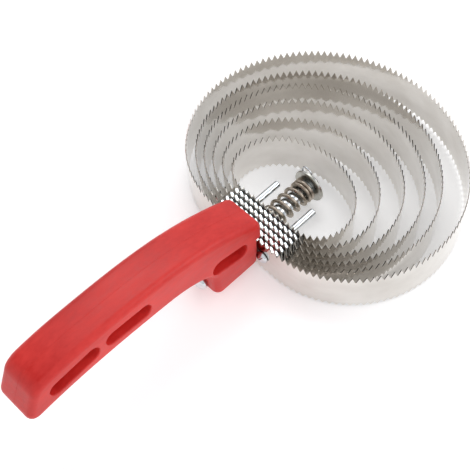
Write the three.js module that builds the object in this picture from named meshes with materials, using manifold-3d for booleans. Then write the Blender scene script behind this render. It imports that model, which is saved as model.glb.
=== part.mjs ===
// Reversible curry comb: six nested loops of toothed spring steel, clamped with spacer bars
// on a spring-loaded bolt, and a moulded plastic handle. Millimetres, +Z up.
// While it is built, X runs along the bolt from the handle to the head, and the bolt's axis is Y = Z = 0.
import * as THREE from 'three';
import { mergeVertices } from 'three/addons/utils/BufferGeometryUtils.js';
import Module from 'manifold-3d';

const wasm = await Module();
wasm.setup();

// Fit: neighbours that touch on the real tool keep this gap.
const GAP = 0.3;

// Loops, outermost first: how far each reaches in front of its own clamped stretch.
const LOOP_REACH = [131, 111, 97.5, 82, 64, 46];
const STRIP_THICKNESS = 0.5;
const STRIP_HEIGHT = 27;
const TOP_TOOTH = 4.6;
const BOTTOM_TOOTH = 2.6;
const TOOTH_PITCH = 3.5;
const OUTER_FLAT = 21.5;
const FLAT_STEP = 0.35;

// Clamped stack of strips and spacer bars.
const STACK_PITCH = 3.4;
const FIRST_STRIP_X = 3.1;
const SPACER_LENGTH = 44.5;
const SPACER_HEIGHT = 18;
const SPACER_THICKNESS = STACK_PITCH - STRIP_THICKNESS - 2 * GAP;
const STACK_FRONT_X = FIRST_STRIP_X + (LOOP_REACH.length - 1) * STACK_PITCH + STRIP_THICKNESS / 2;

// Guide pins, fixed in the stack, with domed heads that key into the handle's block.
const PIN_SPREAD = 12.8;
const PIN_DIAMETER = 4;
const PIN_HEAD_DIAMETER = 7.6;
const PIN_HEAD_HEIGHT = 2.5;
const PIN_FRONT_X = 40.5;

// Bolt, washer and split pin.
const BOLT_DIAMETER = 8;
const BOLT_HEAD_DIAMETER = 10.5;
const BOLT_HEAD_HEIGHT = 3.8;
const BOLT_FRONT_X = 55;
const WASHER_X = 50;
const WASHER_DIAMETER = 19;
const WASHER_THICKNESS = 1.4;
const SPLIT_PIN_WIRE = 1.8;
const SPLIT_PIN_X = WASHER_X + WASHER_THICKNESS + GAP + SPLIT_PIN_WIRE / 2;
const SPLIT_PIN_TURN = THREE.MathUtils.degToRad(24);

// Compression spring.
const SPRING_WIRE = 2;
const SPRING_MEAN_RADIUS = 5.9;
const SPRING_TURNS = 6.5;

// Handle.
const HANDLE_WIDTH = 23;
const HANDLE_ROUND = 3.5;
const BLOCK_FRONT_X = 2.2;
const BLOCK_REAR_X = -28.3;
const BLOCK_BOTTOM_Z = -5.5;
const NOSE_FRONT_X = 5.2;
const NOSE_BOTTOM_Z = STRIP_HEIGHT / 2 + 2 * GAP;
const WEB_THICKNESS = 3;

const redPlastic = new THREE.MeshStandardMaterial({ color: 0xd64541, roughness: 0.45, metalness: 0 });
const springSteel = new THREE.MeshStandardMaterial({ color: 0xc9c5bf, roughness: 0.15, metalness: 1 });
const zinc = new THREE.MeshStandardMaterial({ color: 0xb9bec0, roughness: 0.3, metalness: 1 });
const darkSteel = new THREE.MeshStandardMaterial({ color: 0x6b6257, roughness: 0.35, metalness: 1 });

const comb = new THREE.Group();

function addPiece(name, geometry, material) {
  const mesh = new THREE.Mesh(geometry, material);
  mesh.name = name;
  comb.add(mesh);
  return mesh;
}

// Solid for joining and cutting, from any closed three.js geometry.
function toSolid(geometry) {
  const bare = geometry.index ? geometry.toNonIndexed() : geometry.clone();
  bare.deleteAttribute('normal');
  bare.deleteAttribute('uv');
  const merged = mergeVertices(bare, 1e-4);
  return new wasm.Manifold(new wasm.Mesh({
    numProp: 3,
    vertProperties: new Float32Array(merged.attributes.position.array),
    triVerts: new Uint32Array(merged.index.array),
  }));
}

function toGeometry(solid) {
  const mesh = solid.getMesh();
  const geometry = new THREE.BufferGeometry();
  geometry.setAttribute('position', new THREE.BufferAttribute(new Float32Array(mesh.vertProperties), 3));
  geometry.setIndex(new THREE.BufferAttribute(new Uint32Array(mesh.triVerts), 1));
  return geometry;
}

// Solid turned about the X axis, from [x, radius] points that start and end on the axis.
function turnedOnX(points, sides) {
  const profile = points.map(([x, radius]) => new THREE.Vector2(radius, x));
  const geometry = new THREE.LatheGeometry(profile, sides);
  geometry.rotateZ(-Math.PI / 2);
  return geometry;
}

function rodOnX(fromX, toX, diameter, y, sides) {
  const geometry = new THREE.CylinderGeometry(diameter / 2, diameter / 2, toX - fromX, sides);
  geometry.rotateZ(-Math.PI / 2);
  geometry.translate((fromX + toX) / 2, y, 0);
  return geometry;
}

// Half of a loop of spring strip that is held straight over its clamp. With phi the strip's
// heading away from the clamp, its curvature squared is k0² (1 - m (1 - cos phi)).
function freeStrip(m, reach) {
  const steps = 120;
  const step = Math.PI / steps;
  const k0 = 2 * (1 - Math.sqrt(1 - 2 * m)) / (m * reach);
  const points = [new THREE.Vector2(0, 0)];
  for (let i = 0; i < steps; i += 1) {
    const phi = (i + 0.5) * step;
    const length = step / (k0 * Math.sqrt(1 - m * (1 - Math.cos(phi))));
    const last = points[i];
    points.push(new THREE.Vector2(last.x + length * Math.sin(phi), last.y + length * Math.cos(phi)));
  }
  return points;
}

// Closed centre line of a loop in its own plane: clamped over x = 0, reaching out to x = reach.
function loopCentreLine(reach, flat) {
  let low = 1e-3;
  let high = 0.4999;
  for (let i = 0; i < 40; i += 1) {
    const middle = (low + high) / 2;
    const end = freeStrip(middle, reach).at(-1);
    if (-end.y < flat) low = middle;
    else high = middle;
  }
  const half = freeStrip(low, reach).map((p) => new THREE.Vector2(p.x, p.y + flat));
  const back = half.slice(0, -1).reverse().map((p) => new THREE.Vector2(p.x, -p.y));
  const points = [new THREE.Vector2(0, 0), ...half, ...back, new THREE.Vector2(0, 0)];
  const path = new THREE.CurvePath();
  for (let i = 1; i < points.length; i += 1) {
    path.add(new THREE.LineCurve(points[i - 1], points[i]));
  }
  return path;
}

// Toothed loop: a ring of rectangular section, turned first and then bent to its centre line.
// Its columns are tooth tips and gaps in turn, all the way round.
function loopGeometry(reach, flat, clampX) {
  const path = loopCentreLine(reach, flat);
  const teeth = Math.round(path.getLength() / TOOTH_PITCH);
  const columns = 2 * teeth;
  const half = STRIP_THICKNESS / 2;
  const low = -STRIP_HEIGHT / 2;
  const radius = 50;
  const section = [[radius - half, low], [radius - half, -low], [radius + half, -low], [radius + half, low],
    [radius - half, low]].map(([x, y]) => new THREE.Vector2(x, y));
  const geometry = new THREE.LatheGeometry(section, columns);
  geometry.rotateX(Math.PI / 2);
  geometry.rotateZ(Math.PI / 2);
  const centres = path.getSpacedPoints(columns);
  const position = geometry.attributes.position;
  for (let i = 0; i < position.count; i += 1) {
    const turn = Math.atan2(position.getY(i), position.getX(i)) / (2 * Math.PI);
    const column = (Math.round(turn * columns) + columns) % columns;
    const before = centres[(column + columns - 1) % columns];
    const after = centres[(column + 1) % columns];
    const along = after.clone().sub(before).normalize();
    const out = Math.hypot(position.getX(i), position.getY(i)) > radius ? half : -half;
    const upper = position.getZ(i) > 0;
    const tip = column % 2 === 0;
    const tooth = upper ? TOP_TOOTH : BOTTOM_TOOTH;
    const edge = STRIP_HEIGHT / 2 - (tip ? 0 : tooth);
    const centre = centres[column];
    position.setXYZ(i, clampX + centre.x - out * along.y, centre.y + out * along.x, upper ? edge : -edge);
  }
  return geometry;
}

// Holes through the stack for the bolt and the two guide pins.
function stackHoles(fromX, toX) {
  const clearance = 2 * GAP;
  const bolt = toSolid(rodOnX(fromX, toX, BOLT_DIAMETER + clearance, 0, 24));
  const left = toSolid(rodOnX(fromX, toX, PIN_DIAMETER + clearance, PIN_SPREAD, 16));
  const right = toSolid(rodOnX(fromX, toX, PIN_DIAMETER + clearance, -PIN_SPREAD, 16));
  return bolt.add(left).add(right);
}

function buildLoops() {
  LOOP_REACH.forEach((reach, i) => {
    const clampX = FIRST_STRIP_X + i * STACK_PITCH;
    const loop = toSolid(loopGeometry(reach, OUTER_FLAT - i * FLAT_STEP, clampX));
    const cut = loop.subtract(stackHoles(clampX - 1, clampX + 1));
    addPiece(`toothed_loop_${i + 1}`, toGeometry(cut), springSteel);
  });
}

// Flat bars with rounded ends between the clamped stretches of neighbouring loops.
function buildSpacers() {
  const round = 1;
  const long = SPACER_LENGTH / 2 - round;
  const thick = SPACER_THICKNESS / 2 - round;
  for (let i = 0; i < LOOP_REACH.length - 1; i += 1) {
    const outline = new THREE.Shape();
    outline.absarc(thick, long, round, 0, Math.PI / 2);
    outline.absarc(-thick, long, round, Math.PI / 2, Math.PI);
    outline.absarc(-thick, -long, round, Math.PI, 1.5 * Math.PI);
    outline.absarc(thick, -long, round, 1.5 * Math.PI, 2 * Math.PI);
    const bar = new THREE.ExtrudeGeometry(outline, { depth: SPACER_HEIGHT, bevelEnabled: false, curveSegments: 4 });
    const x = FIRST_STRIP_X + (i + 0.5) * STACK_PITCH;
    bar.translate(x, 0, -SPACER_HEIGHT / 2);
    const cut = toSolid(bar).subtract(stackHoles(x - 2, x + 2));
    addPiece(`spacer_bar_${i + 1}`, toGeometry(cut), zinc);
  }
}

// Plain pins with a domed head behind the outermost loop.
function buildGuidePins() {
  const shank = PIN_DIAMETER / 2;
  const head = PIN_HEAD_DIAMETER / 2;
  const headFront = FIRST_STRIP_X - STRIP_THICKNESS / 2 - GAP;
  const headBack = headFront - PIN_HEAD_HEIGHT;
  const chamfer = 0.5;
  const profile = [[headBack, 0], [headBack + 0.3, head * 0.6], [headBack + 1, head * 0.9], [headFront, head],
    [headFront, shank], [PIN_FRONT_X - chamfer, shank], [PIN_FRONT_X, shank - chamfer], [PIN_FRONT_X, 0]];
  [['left', 1], ['right', -1]].forEach(([side, sign]) => {
    const pin = turnedOnX(profile, 16);
    pin.translate(0, sign * PIN_SPREAD, 0);
    addPiece(`guide_pin_${side}`, pin, zinc);
  });
}

// Round-headed bolt with a cross hole near its end for the split pin.
function buildBolt() {
  const shank = BOLT_DIAMETER / 2;
  const head = BOLT_HEAD_DIAMETER / 2;
  const headFront = BLOCK_REAR_X - GAP;
  const headBack = headFront - BOLT_HEAD_HEIGHT;
  const chamfer = 1;
  const profile = [[headBack, 0], [headBack + 0.4, head * 0.5], [headBack + 1.3, head * 0.82],
    [headFront - 1.2, head], [headFront, head], [headFront, shank],
    [BOLT_FRONT_X - chamfer, shank], [BOLT_FRONT_X, shank - chamfer], [BOLT_FRONT_X, 0]];
  const holeRadius = 1.5;
  const hole = new THREE.CylinderGeometry(holeRadius, holeRadius, 3 * BOLT_DIAMETER, 12);
  hole.rotateX(Math.PI / 2 - SPLIT_PIN_TURN);
  hole.translate(SPLIT_PIN_X, 0, 0);
  addPiece('bolt', toGeometry(toSolid(turnedOnX(profile, 24)).subtract(toSolid(hole))), zinc);
}

function buildWasher() {
  const inner = BOLT_DIAMETER / 2 + GAP;
  const outer = WASHER_DIAMETER / 2;
  const section = [[WASHER_X, inner], [WASHER_X, outer], [WASHER_X + WASHER_THICKNESS, outer],
    [WASHER_X + WASHER_THICKNESS, inner], [WASHER_X, inner]];
  addPiece('end_washer', turnedOnX(section, 32), zinc);
}

// Split pin: one wire doubled into an eye, its legs side by side through the bolt and spread beyond it.
function buildSplitPin() {
  const legOffset = 0.45;
  const legRadius = 0.4;
  const eyeRadius = 3.4;
  const neck = BOLT_DIAMETER / 2 + 0.6;
  const eyeCentre = neck + eyeRadius;
  const tip = -BOLT_DIAMETER / 2 - 3.5;
  const half = [[legOffset + 1.6, tip], [legOffset + 0.2, tip + 2.4], [legOffset, 0], [legOffset, neck - 1],
    [1.4, neck + 0.5], [eyeRadius, eyeCentre]];
  const points = [...half, [0, eyeCentre + eyeRadius], ...half.slice().reverse().map(([y, z]) => [-y, z])];
  const path = new THREE.CatmullRomCurve3(points.map(([y, z]) => new THREE.Vector3(0, y, z)));
  const section = new THREE.Shape();
  section.absarc(0, 0, legRadius, 0, 2 * Math.PI);
  const pin = new THREE.ExtrudeGeometry(section, { extrudePath: path, steps: 44, curveSegments: 4, bevelEnabled: false });
  pin.rotateX(-SPLIT_PIN_TURN);
  pin.translate(SPLIT_PIN_X, 0, 0);
  addPiece('split_pin', pin, zinc);
}

// Helix that is wound close against the washer and open towards the stack.
class SpringPath extends THREE.Curve {
  getPoint(t) {
    const closedShare = 0.3;
    const from = STACK_FRONT_X + GAP + SPRING_WIRE / 2;
    const to = WASHER_X - GAP - SPRING_WIRE / 2;
    const closedPitch = SPRING_WIRE + GAP;
    const closedLength = closedShare * SPRING_TURNS * closedPitch;
    const open = 1 - closedShare;
    const x = t < open ? from + (to - closedLength - from) * (t / open) : to - closedLength * (1 - t) / closedShare;
    const turn = 2 * Math.PI * SPRING_TURNS * t;
    return new THREE.Vector3(x, SPRING_MEAN_RADIUS * Math.cos(turn), SPRING_MEAN_RADIUS * Math.sin(turn));
  }
}

function buildSpring() {
  const section = new THREE.Shape();
  section.absarc(0, 0, SPRING_WIRE / 2, 0, 2 * Math.PI);
  const options = { extrudePath: new SpringPath(), steps: 84, curveSegments: 4, bevelEnabled: false };
  addPiece('compression_spring', new THREE.ExtrudeGeometry(section, options), darkSteel);
}

// Side view of the handle, as x and z, inside its rounded edges: a hanging block in front, with a
// nose that reaches over the first teeth, and a cranked grip behind it.
function handleOutline() {
  const front = BLOCK_FRONT_X - HANDLE_ROUND;
  const rear = BLOCK_REAR_X + HANDLE_ROUND;
  const bottom = BLOCK_BOTTOM_Z + HANDLE_ROUND;
  const noseFront = NOSE_FRONT_X - HANDLE_ROUND;
  const noseBottom = NOSE_BOTTOM_Z + HANDLE_ROUND;
  const corner = 1.5;
  const outline = new THREE.Shape();
  outline.moveTo(front, bottom + corner);
  outline.lineTo(front, noseBottom);
  outline.lineTo(noseFront, noseBottom);
  outline.lineTo(noseFront, 20);
  outline.quadraticCurveTo(noseFront, 25.4, -0.2, 26.4);
  outline.bezierCurveTo(-35, 44.7, -62, 46.5, -98.5, 46.5);
  outline.quadraticCurveTo(-114, 46.5, -125, 44.7);
  outline.quadraticCurveTo(-131, 43.7, -132.2, 39.5);
  outline.lineTo(-136.4, 30.4);
  outline.quadraticCurveTo(-137.8, 27.2, -134.3, 27.6);
  outline.bezierCurveTo(-112, 31, -87, 30.6, -56.5, 28.4);
  outline.bezierCurveTo(-42, 27.3, rear, 20.5, rear, 11.5);
  outline.lineTo(rear, bottom + corner);
  outline.quadraticCurveTo(rear, bottom, rear + corner, bottom);
  outline.lineTo(front - corner, bottom);
  outline.quadraticCurveTo(front, bottom, front, bottom + corner);
  return outline;
}

// Pocket with round ends, in the handle's left side and right side, with a web between them.
function sidePockets(fromX, fromZ, toX, toZ, height) {
  const lean = Math.atan2(toZ - fromZ, toX - fromX);
  const radius = height / 2;
  const outline = new THREE.Shape();
  outline.absarc(toX - radius * Math.cos(lean), toZ - radius * Math.sin(lean), radius,
    lean - Math.PI / 2, lean + Math.PI / 2);
  outline.absarc(fromX + radius * Math.cos(lean), fromZ + radius * Math.sin(lean), radius,
    lean + Math.PI / 2, lean + 1.5 * Math.PI);
  const depth = HANDLE_WIDTH;
  const pocket = new THREE.ExtrudeGeometry(outline, { depth, bevelEnabled: false, curveSegments: 6 });
  pocket.rotateX(Math.PI / 2);
  const near = pocket.clone().translate(0, -WEB_THICKNESS / 2, 0);
  const far = pocket.clone().translate(0, depth + WEB_THICKNESS / 2, 0);
  return toSolid(near).add(toSolid(far));
}

function buildHandle() {
  const options = {
    depth: HANDLE_WIDTH - 2 * HANDLE_ROUND,
    bevelThickness: HANDLE_ROUND,
    bevelSize: HANDLE_ROUND,
    bevelSegments: 3,
    curveSegments: 8,
  };
  const body = new THREE.ExtrudeGeometry(handleOutline(), options);
  body.rotateX(Math.PI / 2);
  body.translate(0, HANDLE_WIDTH / 2 - HANDLE_ROUND, 0);
  const boltHole = toSolid(rodOnX(BLOCK_REAR_X - 5, BLOCK_FRONT_X + 5, BOLT_DIAMETER + 2 * GAP, 0, 24));
  const notchDepth = PIN_HEAD_HEIGHT + GAP;
  const notchFrom = FIRST_STRIP_X - STRIP_THICKNESS / 2 - GAP - notchDepth;
  const notchSize = PIN_HEAD_DIAMETER + 2 * GAP;
  const leftNotch = toSolid(rodOnX(notchFrom, BLOCK_FRONT_X + 5, notchSize, PIN_SPREAD, 20));
  const rightNotch = toSolid(rodOnX(notchFrom, BLOCK_FRONT_X + 5, notchSize, -PIN_SPREAD, 20));
  const handle = toSolid(body)
    .subtract(sidePockets(-127, 35.5, -98, 38.5, 9))
    .subtract(sidePockets(-94, 38, -67, 36.5, 9))
    .subtract(sidePockets(-28.8, 20.9, -6, 15.9, 9.6))
    .subtract(boltHole)
    .subtract(leftNotch)
    .subtract(rightNotch);
  addPiece('handle', toGeometry(handle), redPlastic);
}

buildHandle();
buildLoops();
buildSpacers();
buildGuidePins();
buildBolt();
buildWasher();
buildSplitPin();
buildSpring();

// The tool lies on the lower teeth of its loops: the origin is under the middle of its outline.
const extent = new THREE.Box3().setFromObject(comb);
const middle = extent.getCenter(new THREE.Vector3());
comb.position.set(-middle.x, -middle.y, -extent.min.z);

const group = new THREE.Group();
group.add(comb);
export default group;
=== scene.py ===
from math import atan2, cos, pi, radians, sin

import bmesh
import bpy
from mathutils import Matrix, Vector


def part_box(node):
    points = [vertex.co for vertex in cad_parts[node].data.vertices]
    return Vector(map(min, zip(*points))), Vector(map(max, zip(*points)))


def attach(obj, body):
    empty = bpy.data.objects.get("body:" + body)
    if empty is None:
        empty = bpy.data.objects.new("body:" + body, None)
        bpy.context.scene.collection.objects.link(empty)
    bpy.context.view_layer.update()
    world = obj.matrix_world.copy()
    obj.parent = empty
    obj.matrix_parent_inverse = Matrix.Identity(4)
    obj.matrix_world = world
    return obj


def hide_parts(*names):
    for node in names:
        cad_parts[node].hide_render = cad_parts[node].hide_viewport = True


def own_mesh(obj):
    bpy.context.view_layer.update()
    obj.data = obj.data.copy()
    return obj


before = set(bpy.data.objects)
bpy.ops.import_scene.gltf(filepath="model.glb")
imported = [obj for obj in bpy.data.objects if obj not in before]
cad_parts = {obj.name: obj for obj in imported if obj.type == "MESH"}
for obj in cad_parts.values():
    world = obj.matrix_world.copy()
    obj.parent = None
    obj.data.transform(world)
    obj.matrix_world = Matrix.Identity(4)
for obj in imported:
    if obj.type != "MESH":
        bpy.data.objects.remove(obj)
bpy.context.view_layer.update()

# ---------------------------------------------------------------- Handle
# One red plastic moulding: a cranked grip, a block under its front end that the hardware goes through, and a
# nose over the first teeth. A fine parting line runs all round its middle, where the two halves of its
# mould met, and three oblong pockets in each side save plastic and leave a web between them.
MM = 0.001
bolt_low, bolt_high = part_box("bolt")
handle_low, handle_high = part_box("handle")
block_front = 2.2
nose_front = 5.2
clamp_face = Vector((handle_high.x - nose_front * MM, 0, (bolt_low.z + bolt_high.z) / 2))


def place(x, y, z):
    """Point given in millimetres from where the bolt's axis meets the plane of the clamp."""
    return clamp_face + Vector((x, y, z)) * MM


handle_width = 23
edge_round = 3.5
block_rear = -28.3
block_bottom = -5.5
nose_bottom = 14.1
web_thickness = 3


def flat_outline(name, start, stretches):
    """Closed flat curve of straight (1 point), quadratic (2) and cubic (3) stretches, in millimetres."""
    curve = bpy.data.curves.new(name, "CURVE")
    curve.dimensions = "2D"
    curve.fill_mode = "BOTH"
    curve.resolution_u = 14
    spline = curve.splines.new("BEZIER")
    spline.bezier_points.add(len(stretches) - 1)
    spline.use_cyclic_u = True
    for point in spline.bezier_points:
        point.handle_left_type = "FREE"
        point.handle_right_type = "FREE"
    last = Vector(start)
    for i, points in enumerate(stretches):
        here = spline.bezier_points[i]
        there = spline.bezier_points[(i + 1) % len(stretches)]
        points = [Vector(p) for p in points]
        end = points[-1]
        if len(points) == 1:
            leaving, arriving = last.lerp(end, 1 / 3), last.lerp(end, 2 / 3)
        elif len(points) == 2:
            leaving, arriving = last.lerp(points[0], 2 / 3), end.lerp(points[0], 2 / 3)
        else:
            leaving, arriving = points[:2]
        here.co = (*last, 0)
        here.handle_right = (*leaving, 0)
        there.handle_left = (*arriving, 0)
        last = end
    return curve


def handle_solid(name, half_width, edge, grow=0):
    """The handle's outline as a solid, half_width each side of its middle, grown by its edge and by grow."""
    front = block_front - edge_round
    rear = block_rear + edge_round
    bottom = block_bottom + edge_round
    tip = nose_front - edge_round
    under = nose_bottom + edge_round
    curve = flat_outline(name, (front, bottom + 1.5), [
        [(front, under)],
        [(tip, under)],
        [(tip, 20)],
        [(tip, 25.4), (-0.2, 26.4)],
        [(-35, 44.7), (-62, 46.5), (-98.5, 46.5)],
        [(-114, 46.5), (-125, 44.7)],
        [(-131, 43.7), (-132.2, 39.5)],
        [(-136.4, 30.4)],
        [(-137.8, 27.2), (-134.3, 27.6)],
        [(-112, 31), (-87, 30.6), (-56.5, 28.4)],
        [(-42, 27.3), (rear, 20.5), (rear, 11.5)],
        [(rear, bottom + 1.5)],
        [(rear, bottom), (rear + 1.5, bottom)],
        [(front - 1.5, bottom)],
        [(front, bottom), (front, bottom + 1.5)],
    ])
    curve.bevel_depth = edge
    curve.bevel_resolution = 6
    curve.offset = grow
    curve.extrude = half_width - edge
    return as_mesh(curve, Matrix.Rotation(pi / 2, 4, "X"))


def as_mesh(curve, turn):
    """A curve made a closed mesh, turned, and put in its place beside the clamp."""
    carrier = bpy.data.objects.new(curve.name, curve)
    bpy.context.scene.collection.objects.link(carrier)
    bpy.context.view_layer.update()
    evaluated = carrier.evaluated_get(bpy.context.evaluated_depsgraph_get())
    mesh = bpy.data.meshes.new_from_object(evaluated)
    bpy.data.objects.remove(carrier)
    mesh.transform(Matrix.Translation(clamp_face) @ turn @ Matrix.Scale(MM, 4))
    bm = bmesh.new()
    bm.from_mesh(mesh)
    bmesh.ops.remove_doubles(bm, verts=bm.verts, dist=1e-6)
    bmesh.ops.dissolve_limit(bm, angle_limit=radians(0.2), verts=bm.verts, edges=bm.edges)
    bmesh.ops.recalc_face_normals(bm, faces=bm.faces)
    bm.to_mesh(mesh)
    bm.free()
    return mesh


def new_piece(name, mesh):
    """A visible piece made from a mesh that already lies in its place."""
    piece = bpy.data.objects.new(name, mesh)
    bpy.context.scene.collection.objects.link(piece)
    return piece


def mesh_from(name, bm):
    """The mesh of a bmesh, with its faces outwards and its edges cleaned."""
    bmesh.ops.remove_doubles(bm, verts=bm.verts, dist=1e-6)
    bmesh.ops.recalc_face_normals(bm, faces=bm.faces)
    mesh = bpy.data.meshes.new(name)
    bm.to_mesh(mesh)
    bm.free()
    return mesh


def smooth_below(mesh, degrees):
    """Smooth shading, apart from edges that turn by more than that many degrees."""
    bm = bmesh.new()
    bm.from_mesh(mesh)
    for face in bm.faces:
        face.smooth = True
    for edge in bm.edges:
        edge.smooth = edge.calc_face_angle(0) < radians(degrees)
    bm.to_mesh(mesh)
    bm.free()


def combined(mesh, other, operation):
    """mesh joined with or cut by other, both closed. The other mesh is used up."""
    body = new_piece("body", mesh)
    tool = new_piece("tool", other)
    step = body.modifiers.new("step", "BOOLEAN")
    step.operation = operation
    step.solver = "EXACT"
    step.object = tool
    bpy.context.view_layer.update()
    evaluated = body.evaluated_get(bpy.context.evaluated_depsgraph_get())
    result = bpy.data.meshes.new_from_object(evaluated)
    bpy.data.objects.remove(body)
    bpy.data.objects.remove(tool)
    return result


def pocket_tool(from_xz, to_xz, width, side):
    """What a pocket takes out of one side: an oblong with a rounded floor, flared at the surface."""
    start, end = Vector(from_xz), Vector(to_xz)
    half = ((end - start).length - width) / 2
    floor_round, rim_round = 0.9, 0.6
    mouth = handle_width / 2
    bm = bmesh.new()
    rim_segments = 48
    bmesh.ops.create_circle(bm, cap_ends=True, segments=rim_segments, radius=width / 2 - floor_round,
                            matrix=Matrix.Rotation(pi / rim_segments, 4, "Z"))
    for v in bm.verts:
        v.co.x += half if v.co.x > 0 else -half
    depth = web_thickness / 2
    bmesh.ops.translate(bm, verts=bm.verts, vec=(0, 0, depth))
    profile = []
    for angle in (22.5, 45, 67.5, 90):
        a = radians(angle)
        profile.append((depth + floor_round * (1 - cos(a)), floor_round * (sin(a) - 1)))
    for angle in (0, 20, 40, 60, 80):
        a = radians(angle)
        profile.append((mouth - rim_round * (1 - sin(a)), rim_round * (1 - cos(a))))
    profile.append((mouth + 2, profile[-1][1]))
    face = bm.faces[:]
    for height, out in profile:
        made = bmesh.ops.extrude_face_region(bm, geom=face)["geom"]
        bmesh.ops.delete(bm, geom=face, context="FACES_ONLY")
        face = [g for g in made if isinstance(g, bmesh.types.BMFace)]
        for v in face[0].verts:
            centre = Vector((half if v.co.x > 0 else -half, 0, 0))
            away = Vector((v.co.x, v.co.y, 0)) - centre
            v.co = centre + away.normalized() * (width / 2 + out) + Vector((0, 0, height))
    bmesh.ops.contextual_create(bm, geom=[e for e in bm.edges if e.is_boundary])
    lean = atan2(end.y - start.y, end.x - start.x)
    middle = (start + end) / 2
    turn = Matrix.Rotation(-lean, 4, "Y") @ Matrix.Rotation(-side * pi / 2, 4, "X")
    bm.transform(Matrix.Translation(place(middle.x, 0, middle.y)) @ turn @ Matrix.Scale(MM, 4))
    return mesh_from("pocket tool", bm)


def rod_on_x(from_x, to_x, diameter, y, segments):
    """Round bar along the bolt, y millimetres to the side of it."""
    bm = bmesh.new()
    middle = place((from_x + to_x) / 2, y, 0)
    radius = diameter / 2 * MM
    bmesh.ops.create_cone(bm, cap_ends=True, segments=segments, radius1=radius, radius2=radius,
                          depth=(to_x - from_x) * MM,
                          matrix=Matrix.Translation(middle) @ Matrix.Rotation(pi / 2, 4, "Y"))
    return mesh_from("rod", bm)


bolt_hole = 8.6
pin_spread = 12.8
notch_floor = -0.25
notch_diameter = 8.2
pockets = (((-127, 35.5), (-98, 38.5), 9), ((-94, 38), (-67, 36.5), 9), ((-28.8, 20.9), (-6, 15.9), 9.6))
handle_mesh = handle_solid("handle outline", handle_width / 2, edge_round)
for start, end, width in pockets:
    for side in (1, -1):
        handle_mesh = combined(handle_mesh, pocket_tool(start, end, width, side), "DIFFERENCE")
handle_mesh = combined(handle_mesh, rod_on_x(-40, 10, bolt_hole, 0, 48), "DIFFERENCE")
for side in (1, -1):
    notch = rod_on_x(notch_floor, 10, notch_diameter, side * pin_spread, 40)
    handle_mesh = combined(handle_mesh, notch, "DIFFERENCE")
line_half_width, line_edge, line_rise = 0.15, 0.05, 0.07
parting_line = handle_solid("parting line", line_half_width, line_edge, edge_round - line_edge + line_rise)
parting_line = combined(parting_line, rod_on_x(-40, 10, bolt_hole, 0, 48), "DIFFERENCE")
moulding = bmesh.new()
moulding.from_mesh(handle_mesh)
moulding.from_mesh(parting_line)
moulding.to_mesh(handle_mesh)
moulding.free()
smooth_below(handle_mesh, 32)
handle = new_piece("moulded_handle", handle_mesh)


class Shade:
    """A value on its way through a material. Arithmetic adds Math nodes, and node() adds any other node."""

    def __init__(self, tree, socket):
        self.tree = tree
        self.socket = socket

    def node(self, kind, settings, inputs, output=0):
        made = self.tree.nodes.new(kind)
        for name, value in settings.items():
            setattr(made, name, value)
        for key, value in inputs.items():
            if isinstance(value, Shade):
                self.tree.links.new(value.socket, made.inputs[key])
            else:
                made.inputs[key].default_value = value
        return Shade(self.tree, made.outputs[output])

    def maths(self, operation, first, second):
        return self.node("ShaderNodeMath", {"operation": operation}, {0: first, 1: second})

    def __add__(self, other):
        return self.maths("ADD", self, other)

    __radd__ = __add__

    def __sub__(self, other):
        return self.maths("SUBTRACT", self, other)

    def __rsub__(self, other):
        return self.maths("SUBTRACT", other, self)

    def __mul__(self, other):
        return self.maths("MULTIPLY", self, other)

    __rmul__ = __mul__

    def noise(self, scale, stretch=(1, 1, 1), detail=3, roughness=0.5):
        """Noise on these coordinates, with its pattern squeezed along each axis by stretch."""
        squeezed = self.node("ShaderNodeMapping", {}, {"Vector": self, "Scale": stretch})
        return squeezed.node("ShaderNodeTexNoise", {}, {"Vector": squeezed, "Scale": scale, "Detail": detail,
                                                        "Roughness": roughness})

    def between(self, low, high, to_low=0, to_high=1):
        """This value carried from low..high to to_low..to_high, and held at the ends."""
        return self.node("ShaderNodeMapRange", {}, {0: self, 1: low, 2: high, 3: to_low, 4: to_high})

    def colour(self, at_zero, at_one):
        """A colour that goes from at_zero to at_one with this value."""
        return self.node("ShaderNodeMix", {"data_type": "RGBA"}, {0: self, 6: at_zero, 7: at_one}, 2)


class Finish:
    """A new material: its object coordinates, and the sockets of its shader by name."""

    def __init__(self, name, **uniform):
        self.material = bpy.data.materials.new(name)
        self.material.use_nodes = True
        self.tree = self.material.node_tree
        self.shader = self.tree.nodes["Principled BSDF"]
        self.coordinates = Shade(self.tree, self.tree.nodes.new("ShaderNodeTexCoord").outputs["Object"])
        for key, value in uniform.items():
            self.shader.inputs[key.replace("_", " ")].default_value = value

    def feed(self, key, value):
        self.tree.links.new(value.socket, self.shader.inputs[key])

    def bump(self, height, distance, strength=1.0):
        """Relief of that many metres where height is 1."""
        self.feed("Normal", height.node("ShaderNodeBump", {}, {"Strength": strength, "Distance": distance,
                                                                "Height": height}))


red_plastic = Finish("red moulded plastic", Specular_IOR_Level=0.35)
grain = red_plastic.coordinates
flow = grain.noise(60, (0.35, 1, 1), 4)
mottle = grain.noise(420, (0.5, 1, 1), 3, 0.6)
tone = flow.between(0.35, 0.68) * 0.65 + mottle.between(0.3, 0.7) * 0.35
red_plastic.feed("Base Color", tone.colour((0.50, 0.014, 0.012, 1), (0.70, 0.038, 0.031, 1)))
red_plastic.feed("Roughness", mottle.between(0.3, 0.7, 0.34, 0.46))
scuff = grain.noise(900, (0.25, 1, 1), 2)
red_plastic.bump(flow * 0.6 + scuff * 0.4, 0.0003, 0.5)
handle.data.materials.append(red_plastic.material)
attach(handle, "handle_body")
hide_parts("handle")

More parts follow.
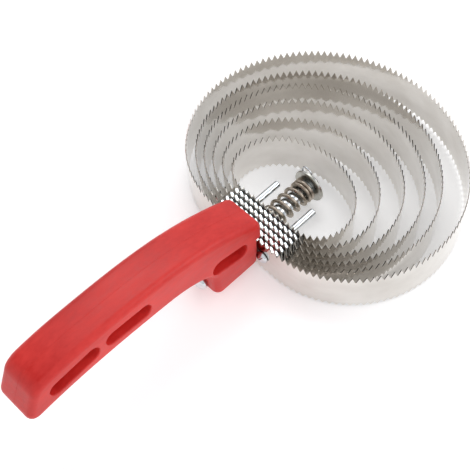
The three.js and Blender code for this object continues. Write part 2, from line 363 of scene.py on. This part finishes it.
# ---------------------------------------------------------------- Bolt
# Cold-headed steel bolt with a low domed head behind the block. It is zinc plated and carries the
# whole head of the comb. A cross hole near its end takes the split pin.
bolt_radius = 4
bolt_front = 55
washer_back = 50
washer_thickness = 1.4
gap = 0.3
split_pin_x = washer_back + washer_thickness + gap + 0.9
split_pin_turn = radians(24)


def turned(name, profile, y, steps):
    """Closed solid turned about the bolt's direction, from (x, radius) points that start and end at 0."""
    bm = bmesh.new()
    verts = [bm.verts.new((x, radius, 0)) for x, radius in profile]
    edges = [bm.edges.new(pair) for pair in zip(verts, verts[1:])]
    bmesh.ops.spin(bm, geom=verts + edges, cent=(0, 0, 0), axis=(1, 0, 0), angle=2 * pi, steps=steps,
                   use_merge=True)
    bm.transform(Matrix.Translation(place(0, y, 0)) @ Matrix.Scale(MM, 4))
    return mesh_from(name, bm)


def arc(centre_x, centre_r, radius, from_degrees, to_degrees, count):
    """Points (x, r) along part of a circle, for a turned profile. 0 degrees points along +x."""
    turns = [radians(from_degrees + (to_degrees - from_degrees) * i / count) for i in range(count + 1)]
    return [(centre_x + radius * cos(a), centre_r + radius * sin(a)) for a in turns]


head_face = block_rear - gap
head_back = head_face - 3.8
head_radius = 5.25
head_corner = 0.3
dome = [(head_back + 2.5 * (1 - cos(a)), head_radius * sin(a))
        for a in (radians(9 * i) for i in range(1, 10))]
bolt_profile = [(head_back, 0), *dome, (head_face - 1.2, head_radius),
                *arc(head_face - head_corner, head_radius - head_corner, head_corner, 90, 0, 3),
                (head_face, bolt_radius), (bolt_front - 1.2, bolt_radius),
                *arc(bolt_front - 1, bolt_radius - 1, 1, 80, 10, 4), (bolt_front, 2.6), (bolt_front, 0)]
bolt_mesh = turned("bolt", bolt_profile, 0, 64)
cross_radius = 1.5 * MM
across = Matrix.Translation(place(split_pin_x, 0, 0)) @ Matrix.Rotation(-split_pin_turn, 4, "X")
cross_hole = bmesh.new()
bmesh.ops.create_cone(cross_hole, cap_ends=True, segments=24, radius1=cross_radius, radius2=cross_radius,
                      depth=24 * MM, matrix=across)
bolt_mesh = combined(bolt_mesh, mesh_from("cross hole", cross_hole), "DIFFERENCE")
smooth_below(bolt_mesh, 32)
bolt = new_piece("plated_bolt", bolt_mesh)

zinc = Finish("bright zinc plate", Metallic=1.0)
cloud = zinc.coordinates.noise(260, (1, 1, 1), 4)
drawn = zinc.coordinates.noise(500, (0.08, 1, 1), 2)
zinc.feed("Base Color", cloud.between(0.3, 0.7).colour((0.56, 0.60, 0.63, 1), (0.74, 0.77, 0.79, 1)))
zinc.feed("Roughness", (cloud * 0.6 + drawn * 0.4).between(0.3, 0.7, 0.10, 0.20))
zinc.bump(drawn, 0.00004, 0.5)
bolt.data.materials.append(zinc.material)
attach(bolt, "handle_body")
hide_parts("bolt")

# ---------------------------------------------------------------- Toothed loops
# Six rings of bright rolled spring steel, with long punched teeth on the upper edge and short ones
# on the lower. Each is held straight where it is clamped, and springs round to a near circle.
spring_steel = Finish("bright rolled spring steel", Metallic=1.0)
rolled = spring_steel.coordinates.noise(160, (0.12, 0.12, 9), 3, 0.6)
smear = spring_steel.coordinates.noise(45, (1, 1, 1.6), 3)
spring_steel.feed("Base Color", smear.between(0.3, 0.7).colour((0.66, 0.63, 0.59, 1), (0.77, 0.745, 0.71, 1)))
spring_steel.feed("Roughness", (rolled * 0.5 + smear * 0.5).between(0.3, 0.7, 0.04, 0.10))
spring_steel.bump(rolled, 0.00002, 0.5)

for number in range(1, 7):
    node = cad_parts[f"toothed_loop_{number}"]
    strip = bmesh.new()
    strip.from_mesh(node.data)
    ring = new_piece(f"spring_steel_loop_{number}", mesh_from(f"loop {number}", strip))
    smooth_below(ring.data, 30)
    ring.data.materials.append(spring_steel.material)
    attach(ring, "comb_head")
    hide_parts(node.name)

# ---------------------------------------------------------------- Spacer bars
# Flat plated bars with rounded ends between the clamped stretches of neighbouring loops. They are
# cropped from drawn bar, and keep the loops apart so that dirt falls through between them.
for number in range(1, 6):
    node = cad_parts[f"spacer_bar_{number}"]
    bar = bmesh.new()
    bar.from_mesh(node.data)
    bmesh.ops.remove_doubles(bar, verts=bar.verts, dist=1e-6)
    bmesh.ops.dissolve_limit(bar, angle_limit=radians(1), verts=bar.verts, edges=bar.edges)
    spacer = new_piece(f"plated_spacer_{number}", mesh_from(f"spacer {number}", bar))
    smooth_below(spacer.data, 40)
    rim = spacer.modifiers.new("broken edges", "BEVEL")
    rim.width = 0.18 * MM
    rim.segments = 2
    rim.limit_method = "ANGLE"
    rim.angle_limit = radians(60)
    spacer.data.materials.append(zinc.material)
    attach(spacer, "comb_head")
    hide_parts(node.name)

# ---------------------------------------------------------------- Guide pins
# Two plated steel pins through the stack, one each side of the bolt. Their domed, slotted heads sit in
# notches in the block's corners, so the head of the comb can't turn until it is pulled forward.
first_strip_back = 3.1 - 0.25
pin_head_front = first_strip_back - gap
pin_head_back = pin_head_front - 2.5
pin_head_radius = 3.8
pin_head_corner = 0.2
pin_radius = 2
pin_front = 40.5
pin_dome = [(pin_head_back + 2 * (1 - cos(a)), pin_head_radius * sin(a))
            for a in (radians(15 * i) for i in range(1, 6))]
pin_head_rim = arc(pin_head_front - pin_head_corner, pin_head_radius - pin_head_corner, pin_head_corner,
                   90, 0, 2)
pin_profile = [(pin_head_back, 0), *pin_dome, (pin_head_front - 0.5, pin_head_radius), *pin_head_rim,
               (pin_head_front, pin_radius), (pin_front - 0.8, pin_radius),
               *arc(pin_front - 0.5, pin_radius - 0.5, 0.5, 80, 0, 3), (pin_front, 0)]
for side, sign in (("left", 1), ("right", -1)):
    pin_mesh = turned("guide pin", pin_profile, sign * pin_spread, 40)
    slot = bmesh.new()
    cutter = Matrix.Rotation(radians(35), 4, "X") @ Matrix.Diagonal((1.6 * MM, 0.8 * MM, 9 * MM, 1))
    slot_place = Matrix.Translation(place(pin_head_back, sign * pin_spread, 0))
    bmesh.ops.create_cube(slot, size=1, matrix=slot_place @ cutter)
    pin_mesh = combined(pin_mesh, mesh_from("driver slot", slot), "DIFFERENCE")
    smooth_below(pin_mesh, 32)
    pin = new_piece(f"slotted_guide_pin_{side}", pin_mesh)
    pin.data.materials.append(zinc.material)
    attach(pin, "comb_head")
    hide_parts(f"guide_pin_{side}")

# ---------------------------------------------------------------- Compression spring
# Round dark spring wire, wound open towards the stack and closed against the washer. It pushes the
# head back against the block, and its cut end stands off the last coil.
coil_radius = 5.9
wire_radius = 1.0
stack_front = 20.35
coil_start = stack_front + gap + wire_radius
coil_end = washer_back - gap - wire_radius
closed_pitch = 2.12
open_pitch = (coil_end - coil_start - 3 * closed_pitch) / 4
per_turn = 48
coil = bmesh.new()
section = bmesh.ops.create_circle(coil, cap_ends=False, segments=14, radius=wire_radius,
                                  matrix=Matrix.Translation((coil_start, coil_radius, 0)))["verts"]
last = section + [e for e in coil.edges]
for turns, pitch in ((0.75, closed_pitch), (4, open_pitch), (2.25, closed_pitch)):
    last = bmesh.ops.spin(coil, geom=last, cent=(0, 0, 0), axis=(1, 0, 0), dvec=(pitch / per_turn, 0, 0),
                          angle=2 * pi * turns, steps=round(turns * per_turn))["geom_last"]
bmesh.ops.contextual_create(coil, geom=[e for e in coil.edges if e.is_boundary and e.verts[0] in section])
bmesh.ops.contextual_create(coil, geom=[g for g in last if isinstance(g, bmesh.types.BMEdge)])
start_turn = Matrix.Rotation(radians(60), 4, "X")
coil.transform(Matrix.Translation(place(0, 0, 0)) @ start_turn @ Matrix.Scale(MM, 4))
spring = new_piece("wound_spring", mesh_from("spring", coil))
smooth_below(spring.data, 50)

dark_wire = Finish("oiled dark spring wire", Metallic=1.0)
stain = dark_wire.coordinates.noise(330, (1, 1, 1), 4)
dark_wire.feed("Base Color", stain.between(0.35, 0.65).colour((0.30, 0.255, 0.20, 1), (0.52, 0.46, 0.39, 1)))
dark_wire.feed("Roughness", stain.between(0.3, 0.7, 0.22, 0.38))
dark_wire.bump(dark_wire.coordinates.noise(2200, (1, 1, 1), 2), 0.00003, 0.4)
spring.data.materials.append(dark_wire.material)
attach(spring, "handle_body")
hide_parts("compression_spring")
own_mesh(spring)

# ---------------------------------------------------------------- Washer
# Thin punched washer at the end of the bolt, which the spring pushes against. One of its edges is
# rounded by the punch, and its yellow passivation has dulled.
washer_ring = bmesh.new()
washer_section = [(50, 4.3), (50, 9.1), (50.12, 9.38), (50.4, 9.5),
                  (51.3, 9.5), (51.4, 9.4), (51.4, 4.4), (51.3, 4.3)]
corners = [washer_ring.verts.new((x, radius, 0)) for x, radius in washer_section]
sides = [washer_ring.edges.new(pair) for pair in zip(corners, corners[1:] + corners[:1])]
bmesh.ops.spin(washer_ring, geom=corners + sides, cent=(0, 0, 0), axis=(1, 0, 0), angle=2 * pi, steps=72,
               use_merge=True)
washer_ring.transform(Matrix.Translation(place(0, 0, 0)) @ Matrix.Scale(MM, 4))
washer = new_piece("punched_washer", mesh_from("washer", washer_ring))
smooth_below(washer.data, 32)

dull_zinc = Finish("dulled passivated zinc", Metallic=1.0)
haze = dull_zinc.coordinates.noise(300, (1, 1, 1), 4)
dull_zinc.feed("Base Color", haze.between(0.35, 0.65).colour((0.40, 0.40, 0.36, 1), (0.55, 0.54, 0.50, 1)))
dull_zinc.feed("Roughness", haze.between(0.3, 0.7, 0.24, 0.40))
washer.data.materials.append(dull_zinc.material)
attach(washer, "handle_body")
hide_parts("end_washer")

# ---------------------------------------------------------------- Split pin
# Half-round plated wire doubled back into an eye. Its legs lie flat to flat through the bolt's cross
# hole and are spread beyond it, so that the washer can't come off.
leg = bpy.data.curves.new("split pin", "CURVE")
leg.dimensions = "3D"
leg.bevel_depth = 0.45
leg.bevel_resolution = 4
leg.resolution_u = 10
leg.use_fill_caps = True
one_side = [(2.2, -7.3), (0.8, -5.2), (0.47, -3), (0.47, 1.8), (0.47, 3.9),
            (1.8, 4.9), (3.5, 6.6), (3.2, 9.6)]
points = one_side + [(0, 12.2)] + [(-y, z) for y, z in reversed(one_side)]
line = leg.splines.new("NURBS")
line.points.add(len(points) - 1)
for point, (y, z) in zip(line.points, points):
    point.co = (split_pin_x, y, z, 1)
line.order_u = 4
line.use_endpoint_u = True
split_pin = new_piece("eyed_split_pin", as_mesh(leg, Matrix.Rotation(-split_pin_turn, 4, "X")))
smooth_below(split_pin.data, 50)
split_pin.data.materials.append(zinc.material)
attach(split_pin, "handle_body")
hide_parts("split_pin")

# ---------------------------------------------------------------- Floor, light and camera
# White table top lit softly from below, with a soft box above. The room round it is pale, apart from a
# darker patch high behind the handle that gives the bright metal something to show against.
table = bmesh.new()
bmesh.ops.create_grid(table, x_segments=1, y_segments=1, size=3)
floor = new_piece("table_top", mesh_from("table top", table))
white = Finish("opal white table top lit from below", Roughness=0.9, Specular_IOR_Level=0.1,
               Emission_Color=(1, 1, 1, 1), Emission_Strength=0.32)
white.feed("Base Color", white.coordinates.noise(3).colour((0.90, 0.90, 0.90, 1), (0.91, 0.91, 0.91, 1)))
floor.data.materials.append(white.material)

room = bpy.data.worlds.new("room")
room.use_nodes = True
sky = room.node_tree
toward = Shade(sky, sky.nodes.new("ShaderNodeTexCoord").outputs["Generated"])
dark_patch = (-0.35, 0.41, 0.84)
facing = toward.node("ShaderNodeVectorMath", {"operation": "DOT_PRODUCT"}, {0: toward, 1: dark_patch}, 1)
sky.nodes["Background"].inputs["Color"].default_value = (0.98, 0.98, 1.0, 1)
sky.links.new(facing.between(0.88, 0.96, 0.85, 0.12).socket, sky.nodes["Background"].inputs["Strength"])
bpy.context.scene.world = room


def soft_box(name, centre, aim, width, height, power):
    """Rectangular lamp of that size in metres, turned to face aim."""
    lamp = bpy.data.lights.new(name, "AREA")
    lamp.shape = "RECTANGLE"
    lamp.size = width
    lamp.size_y = height
    lamp.energy = power
    carrier = bpy.data.objects.new(name, lamp)
    carrier.location = centre
    carrier.rotation_euler = (Vector(centre) - Vector(aim)).to_track_quat("Z", "Y").to_euler()
    bpy.context.scene.collection.objects.link(carrier)


soft_box("overhead box", (0.47, 0.54, 1.12), (0.02, 0, 0.02), 0.7, 0.55, 3.4)
soft_box("side box", (0.7, -0.7, 0.7), (0, 0, 0), 0.8, 0.6, 3)

lens = bpy.data.cameras.new("camera")
lens.sensor_width = 36
lens.lens = 83.07
lens.clip_start = 0.01
camera = bpy.data.objects.new("camera", lens)
camera.location = place(-194.1, -220.9, 469.7)
heading = Matrix.Rotation(radians(-40.8), 3, "Z")
tilt = Matrix.Rotation(radians(90 - 57.42), 3, "X")
roll = Matrix.Rotation(radians(-4.62), 3, "Z")
camera.rotation_euler = (heading @ tilt @ roll).to_euler()
bpy.context.scene.collection.objects.link(camera)
bpy.context.scene.camera = camera
bpy.context.scene.view_settings.view_transform = "Standard"
